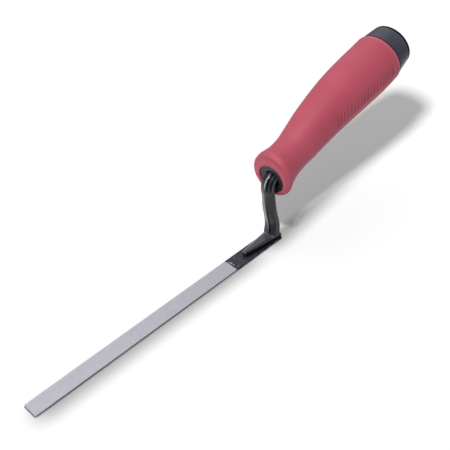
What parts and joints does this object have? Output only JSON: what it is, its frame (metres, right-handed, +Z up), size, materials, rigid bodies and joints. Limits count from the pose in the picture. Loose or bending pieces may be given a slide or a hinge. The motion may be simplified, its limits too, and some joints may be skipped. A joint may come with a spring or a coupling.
{
  "type": "brick jointer",
  "caption": "Flat brick jointer for pressing mortar into joints: a long narrow blade on a cranked forged shank with a soft-grip handle.",
  "frame": {"origin": "middle of the blade's flat sole, half way along its length and half way across its width", "axes": "+X along the blade from its tip towards the handle, +Y across the blade, +Z up out of the sole"},
  "size_m": [0.2823, 0.0318, 0.0949],
  "materials": {
    "ground_blade_steel": "ground",
    "black_shank_paint": "gloss",
    "hard_core_plastic": "satin",
    "soft_grip_rubber": "soft matte",
    "end_cap_plastic": "satin"
  },
  "bodies": {
    "root": {"blade": "ground_blade_steel", "shank": "black_shank_paint", "handle_core": "hard_core_plastic", "grip": "soft_grip_rubber", "end_cap": "end_cap_plastic"}
  },
  "joints": []
}
